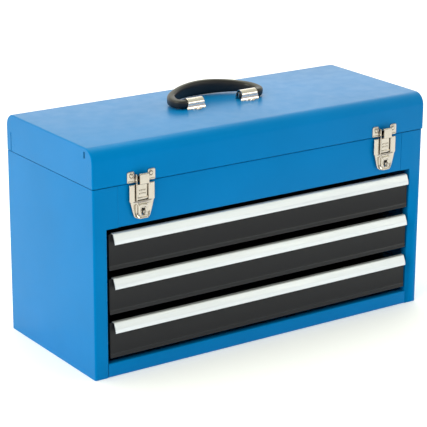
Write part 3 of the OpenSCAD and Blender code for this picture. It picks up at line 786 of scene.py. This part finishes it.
def lever(name, x):
    """Pressed lever: flanged wings beside the hook, and a raised pad below it."""
    low, high = span(f"lever_{name}")
    half = (high.x - low.x) / 2
    face = Y_FRONT
    window, sill = 9.3, 223.4
    rows = [high.z, 243.4, 241, 237, 233, 229, 226, 224.6, sill, 222.6, 221.6, 220.6, 219.6, 218.6,
            217.6, 216.6, 215.6, 214.6, 213.4, 212, 210.5, 209, 207.3, 205.8, 204.6, 203.6, 202.9,
            202.3, 201.9, 201.65]
    inner = [0, 1.8, 2.6, 3.6, 4.6, 5.4, 6, 6.5, 7, 7.6, 8.4, window]
    grid = []
    for z in rows:
        w = lever_width(z, half)
        reach = min(1.0, (w - 2.2) / window)
        us = [u * reach for u in inner]
        rim = [w - 1.5, w - 0.8, w - 0.3, w - 0.05, w]
        outer = [us[-1] + (rim[0] - us[-1]) * k / 4 for k in (1, 2, 3)]
        line = us + outer + rim
        drop = [0] * (len(us) + 3) + [0, 0.1, 0.45, 1.1, 2.5]
        row = []
        for s, step in ((-1, -1), (1, 1)):
            pairs = list(zip(line, drop))[::step]
            for u, d in (pairs if s < 0 else pairs[1:]):
                row.append((x + s * u, face - lever_relief(u, z, w) + d, z))
        grid.append(row)
    middle = len(grid[0]) // 2

    def keep(i, j):
        across = abs(j + 0.5 - middle)
        in_window = rows[i] > sill and across < len(inner) - 1
        in_slot = across < 2 and 205.9 < (rows[i] + rows[i + 1]) / 2 < 214.5
        in_hole = 1 < j - middle + 8 < 3 and 206 < rows[i] < 208
        return not in_window and not in_slot and not in_hole

    Piece().skin(grid, keep).finish(f"lever_press_{name}", f"lever_{name}", NICKEL,
                                    [f"lever_{name}"], bevel=0, thickness=0.9)
    ears = Piece()
    pivot, hinge = joint(f"lever_{name}_pivot"), joint(f"hook_{name}_pivot")
    for s in (-1, 1):
        outline = [(face - 3.6, 221.5), (hinge.y + 1.5, 223.6)]
        outline += arc((hinge.y, hinge.z), 1.7, -20, 40, 3)
        outline += arc((pivot.y, pivot.z), EAR_R, -20, 90, 6) + [(face - 4.0, 243.4)]
        edges = sorted((x + s * 9.5, x + s * 10.6))
        ears.plate([outline], "x", *edges, 0.15)
    ears.finish(f"lever_ears_{name}", f"lever_{name}", NICKEL, bevel=0)


def hook(name, x):
    """Channel hook: legs on the lever's pin, a stepped web, and a lip over the ledge."""
    low, high = span(f"hook_{name}")
    pin = joint(f"hook_{name}_pivot")
    face, top = low.y, high.z
    lip = LID_LOW.y - 5.7
    step = 245.2
    web_y = pin.y - 1.6
    strip = rounded([(lip, top), (face, top), (face, step), (web_y, step - 1), (web_y, pin.z + 1)],
                    [0, 2.2, 1.6, 1.2, 0], 5)
    piece = Piece().sheet(strip, 1.2, "x", x - 6.3, x + 6.3)
    web = box_outline(x - 8.0, pin.z + 1.6, x + 8.0, step - 1.4)
    piece.plate([rounded(web, 1, 3, True)], "y", web_y + 0.25, web_y + 1.4, 0.2)
    for z in (232.4, 236.4):
        rib = [(-1.1, 0.1), (-0.7, 0.7), (0, 0.95), (0.7, 0.7), (1.1, 0.1)]
        piece.prism([(web_y + 0.1 - h, z + w) for w, h in rib], "x", x - 4.6, x + 4.6)
    barrel = [(0.95, -7.9), (2.1, -7.9), (2.35, -7.6), (2.35, 7.6), (2.1, 7.9), (0.95, 7.9)]
    piece.lathe(barrel, (x, pin.y, pin.z), "x", 24)
    for s in (-1, 1):
        leg = rounded([(Y_FRONT - 2.5, top - 1.2), (Y_FRONT - 6.4, top - 1.2),
                       (Y_FRONT - 6.4, pin.z - 1)], [0.8, 1.8, 0], 4)
        leg += arc((Y_FRONT - 4.1, pin.z - 1.2), 2.3, 180, 340, 10)
        leg += [(Y_FRONT - 1.7, pin.z + 3), (Y_FRONT - 2.5, pin.z + 5)]
        edges = sorted((x + s * 7.9, x + s * 9.1))
        piece.plate([leg], "x", *edges, 0.25)
    piece.finish(f"hook_channel_{name}", f"hook_{name}", NICKEL, [f"hook_{name}"], bevel=0.2)


def latch_fasteners():
    """Rivets of the plates and keepers, and the pins that the levers and hooks turn on."""
    plates, keepers = Piece(), Piece()
    for name, _ in SIDES:
        low, high = span(f"latch_base_{name}")
        x = (low.x + high.x) / 2
        pivot = joint(f"lever_{name}_pivot")
        for z in (217.5, 232):
            plates.rivet((x, Y_FRONT - 1.2, z), "y", -1, 2.5, 1)
            plates.rivet((x, Y_FRONT + 2 * T, z), "y", 1, 2.5, 0.9)
        for side in (-1, 1):
            keepers.rivet((x + side * 13.8, LID_LOW.y - 1.3, 255.7), "y", -1, 2.3, 1)
            keepers.rivet((x + side * 13.8, LID_LOW.y + T, 255.7), "y", 1, 2.5, 0.9)
        pins = Piece()
        for side in (-1, 1):
            shank = [(0.9, side * 9.4), (0.9, side * 12.1), (1.15, side * 12.15),
                     (1.1, side * 12.5), (0.7, side * 12.75), (0.1, side * 12.8)]
            pins.lathe(shank, (x, pivot.y, pivot.z), "x", 20)
        pins.finish(f"lever_pins_{name}", "case", NICKEL, [f"lever_rivets_{name}"], bevel=0)
        pin = Piece()
        hinge = joint(f"hook_{name}_pivot")
        ends = [(0.1, -11.3), (0.6, -11.2), (0.9, -10.9), (0.9, 10.9), (0.6, 11.2), (0.1, 11.3)]
        pin.lathe(ends, (x, hinge.y, hinge.z), "x", 20)
        pin.finish(f"hook_pin_turned_{name}", f"lever_{name}", NICKEL, [f"hook_pin_{name}"], bevel=0)
    plates.finish("latch_plate_rivets", "case", NICKEL, ["latch_base_rivets"], bevel=0)
    keepers.finish("keeper_plate_rivets", "lid", NICKEL, ["keeper_rivets"], bevel=0)


def latches():
    for name, _ in SIDES:
        low, high = span(f"latch_base_{name}")
        x = (low.x + high.x) / 2
        latch_base(name, x)
        keeper(name, x)
        lever(name, x)
        hook(name, x)
    latch_fasteners()


# ---- Drawers ----

def drawer_front(i):
    """Folded front with a beaded lower edge and short returns at its ends."""
    low, high = span(f"drawer_front_{i}")
    body = f"drawer_{i}"
    face = low.y + 0.8
    half = high.x - 0.2
    bottom = low.z
    path = [(face, high.z), (face, bottom + 8.2)]
    path += [(face - 0.35, bottom + 7.6), (face - 0.8, bottom + 6.9), (face - 0.8, bottom + 6.2),
             (face - 0.3, bottom + 5.5), (face - 0.1, bottom + 4.8)]
    path += [(face - 0.1, bottom + 3.4)]
    path += arc((face + 0.7, bottom + 1.5), 1.5, 180, 270, 5)
    path += [(face + 5, bottom)]
    piece = Piece().sheet(path, T, "x", -half, half)
    for s in (-1, 1):
        edges = sorted((s * half, s * (half - T)))
        piece.prism(box_outline(face + 0.5, bottom + 4, face + 5, high.z - 1), "x", *edges)
    piece.finish(f"front_face_{i}", body, CHARCOAL, [f"drawer_front_{i}"], 0.16)


def drawer_pull(i):
    """Extruded pull: a curved, slanting face with a rolled lower edge."""
    low, high = span(f"drawer_pull_{i}")
    top, bottom, out, back = high.z, low.z, low.y, high.y
    t = 1.15
    path = [(back, top - 8), (back, top), (Y_FRONT - 2.6, top)]
    path = rounded(path + [(out + 0.9, top - 8.2), (out + 0.1, bottom + 0.6)], [0, 0.8, 2.6, 9, 0], 6)
    path += arc((out + 0.85, bottom + 0.75), 0.7, 190, 330, 5)
    piece = Piece().sheet(path, t, "x", low.x, high.x)
    piece.finish(f"pull_{i}", f"drawer_{i}", SATIN, [f"drawer_pull_{i}"], 0.2)


# ---- Stage ----

def floor():
    """A plain pale floor."""
    mesh = bpy.data.meshes.new("floor")
    reach = 14
    mesh.from_pydata([(-reach, -reach, 0), (reach, -reach, 0), (reach, reach, 0), (-reach, reach, 0)],
                     [], [(0, 1, 2, 3)])
    ground = bpy.data.objects.new("floor", mesh)
    bpy.context.scene.collection.objects.link(ground)
    material, _, shader = nodes_of("floor_white")
    shader.inputs["Base Color"].default_value = (0.93, 0.94, 1, 1)
    shader.inputs["Emission Color"].default_value = (0.9, 0.94, 1, 1)
    shader.inputs["Emission Strength"].default_value = 0.2
    shader.inputs["Roughness"].default_value = 0.9
    shader.inputs["Specular IOR Level"].default_value = 0.1
    mesh.materials.append(material)


def sky():
    """Bright studio walls: lighter near the horizon and the back, and warmer overhead."""
    world = bpy.data.worlds.new("studio")
    bpy.context.scene.world = world
    world.use_nodes = True
    tree = world.node_tree
    coords = tree.nodes.new("ShaderNodeTexCoord")
    split = tree.nodes.new("ShaderNodeSeparateXYZ")
    shade = tree.nodes.new("ShaderNodeValToRGB")
    tree.links.new(coords.outputs["Generated"], split.inputs["Vector"])
    tree.links.new(split.outputs["Z"], shade.inputs["Fac"])
    front_to_back = tree.nodes.new("ShaderNodeMapRange")
    front_to_back.inputs["From Min"].default_value = -0.9
    front_to_back.inputs["From Max"].default_value = 0.6
    front_to_back.inputs["To Min"].default_value = 0.38
    tree.links.new(split.outputs["Y"], front_to_back.inputs["Value"])
    tree.links.new(shade.outputs["Color"], tree.nodes["Background"].inputs["Color"])
    tree.links.new(front_to_back.outputs["Result"], tree.nodes["Background"].inputs["Strength"])
    stops = shade.color_ramp.elements
    stops.remove(stops[0])
    stops[0].position, stops[0].color = 0, (1.1, 1.1, 1.1, 1)
    for height, level, blue in ((0.14, 1.3, 1), (0.3, 1.9, 1), (0.5, 1.4, 0.8), (0.75, 1, 0.8),
                                (1, 0.9, 0.8)):
        stops.new(height).color = (level, level, level * blue, 1)


def lamps():
    """Three large soft lamps aimed at the chest."""
    for name, place_at, size, power in (
            ("key", (-3.2, -1.2, 2.2), 2.0, 60), ("overhead", (0.3, 0.8, 3.2), 2.4, 40),
            ("front", (1.9, -2.6, 1.45), 0.7, 4)):
        light = bpy.data.lights.new(name, "AREA")
        light.size = size
        light.energy = power
        light.color = (1, 1, 0.8)
        lamp = bpy.data.objects.new(name, light)
        bpy.context.scene.collection.objects.link(lamp)
        lamp.location = place_at
        aim = Vector((0, 0, 0.15)) - Vector(place_at)
        lamp.rotation_euler = aim.to_track_quat("-Z", "Y").to_euler()


def camera():
    """A long lens from the front left, a little above the lid."""
    azimuth, elevation, roll = math.radians(-34.25), math.radians(17.92), math.radians(0.29)
    target = Vector((-8.93, 0, 144.52)) * MM
    distance = 2380.15 * MM
    back = Vector((math.sin(azimuth) * math.cos(elevation),
                   -math.cos(azimuth) * math.cos(elevation), math.sin(elevation)))
    lens = bpy.data.cameras.new("camera")
    lens.sensor_width = 36
    lens.lens = 151.24
    lens.clip_start, lens.clip_end = 0.05, 60
    eye = bpy.data.objects.new("camera", lens)
    bpy.context.scene.collection.objects.link(eye)
    eye.location = target + back * distance
    eye.rotation_mode = "QUATERNION"
    level = (-back).to_track_quat("-Z", "Y")
    eye.rotation_quaternion = level @ Matrix.Rotation(roll, 3, "Z").to_quaternion()
    bpy.context.scene.camera = eye
    bpy.context.scene.view_settings.view_transform = "Standard"


camera()
floor()
sky()
lamps()
dress_cad_nodes()
side_panels()
front_panel()
bottom_pan()
back_weld_marks()
hinge_rivets()
lid_shell()
lid_hem()
lid_weld_marks()
grip()
handle_clips()
clip_rivets()
latches()
for number in DRAWERS:
    drawer_front(number)
    drawer_pull(number)
